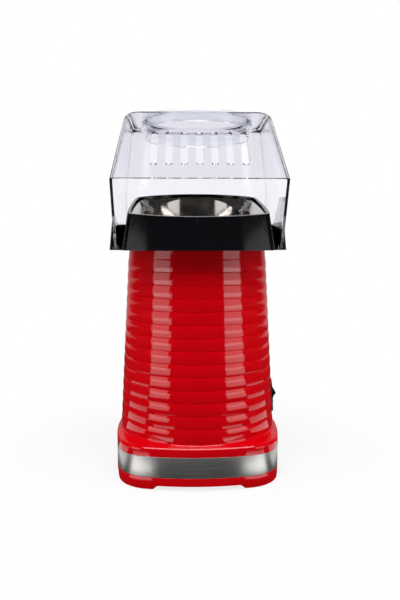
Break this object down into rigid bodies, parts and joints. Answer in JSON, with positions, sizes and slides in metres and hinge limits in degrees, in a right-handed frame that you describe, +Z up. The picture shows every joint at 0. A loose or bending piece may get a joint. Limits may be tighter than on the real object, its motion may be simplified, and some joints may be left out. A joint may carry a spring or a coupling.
{
  "type": "popcorn maker",
  "caption": "Hot-air popcorn maker: ribbed red tower on a square steel-banded base, black scoop collar, clear vented hood, lift-out measuring cup and side rocker switch.",
  "frame": {"origin": "on the table, under the middle of the whole part's box; the tower's axis stands 12.5 mm behind it", "axes": "+Z up, parallel to the tower's axis, -Y towards the open front of the hood, +X towards the switch"},
  "size_m": [0.1402, 0.165, 0.2907],
  "materials": {
    "red_plastic": "gloss",
    "black_plastic": "gloss",
    "black_matte_plastic": "matte",
    "clear_plastic": "clear gloss",
    "brushed_steel": "brushed along its length",
    "galvanised_steel": "satin",
    "screw_steel": "bright plated",
    "aluminium": "satin",
    "polished_aluminium": "polished",
    "rubber": "matte",
    "silicone": "matte",
    "mica": "satin",
    "heater_wire": "oxidised",
    "ferrite": "matte",
    "rotor_iron": "varnished",
    "bronze": "satin",
    "brass": "bright",
    "nylon": "matte",
    "circuit_board": "satin"
  },
  "bodies": {
    "housing": {"tower_shell": "red_plastic", "base_ring": "red_plastic", "steel_band": "brushed_steel", "bottom_cover": "black_matte_plastic", "rubber_feet": "rubber", "collar": "black_plastic", "popping_chamber": "aluminium", "kernel_spreader": "aluminium", "chamber_gasket": "silicone", "chamber_funnel": "polished_aluminium", "heat_shield": "galvanised_steel", "heater_plate_x": "mica", "heater_plate_y": "mica", "heater_coil": "heater_wire", "thermostat": "galvanised_steel", "thermal_fuse": "aluminium", "fan_duct": "black_matte_plastic", "motor_can": "galvanised_steel", "motor_magnets": "ferrite", "motor_bushing": "bronze", "motor_end_cap": "nylon", "rectifier_board": "circuit_board", "rectifier_diodes": "black_matte_plastic", "terminal_block": "nylon", "switch_housing": "black_matte_plastic", "switch_pin": "galvanised_steel", "switch_terminals": "brass", "cord_gland": "black_matte_plastic", "bottom_screws": "screw_steel", "duct_screws": "screw_steel", "collar_screws": "screw_steel", "motor_screws": "screw_steel"},
    "fan": {"impeller": "nylon", "motor_shaft": "galvanised_steel", "motor_rotor": "rotor_iron"},
    "rocker": {"rocker": "black_plastic"},
    "hood": {"hood": "clear_plastic"},
    "cup": {"measuring_cup": "clear_plastic"}
  },
  "joints": [
    {"name": "hood_lift", "type": "slide", "parent": "housing", "child": "hood", "axis": [0, 0, 1], "range_m": [0, 0.12]},
    {"name": "cup_lift", "type": "slide", "parent": "hood", "child": "cup", "axis": [0, 0, 1], "range_m": [0, 0.04]},
    {"name": "switch_rock", "type": "hinge", "parent": "housing", "child": "rocker", "pos_m": [0.0591, 0.0125, 0.05783], "axis": [0, -1, 0], "range_deg": [0, 36]},
    {"name": "fan_spin", "type": "hinge", "parent": "housing", "child": "fan", "pos_m": [0, 0.0125, 0.065], "axis": [0, 0, 1], "continuous": true}
  ]
}
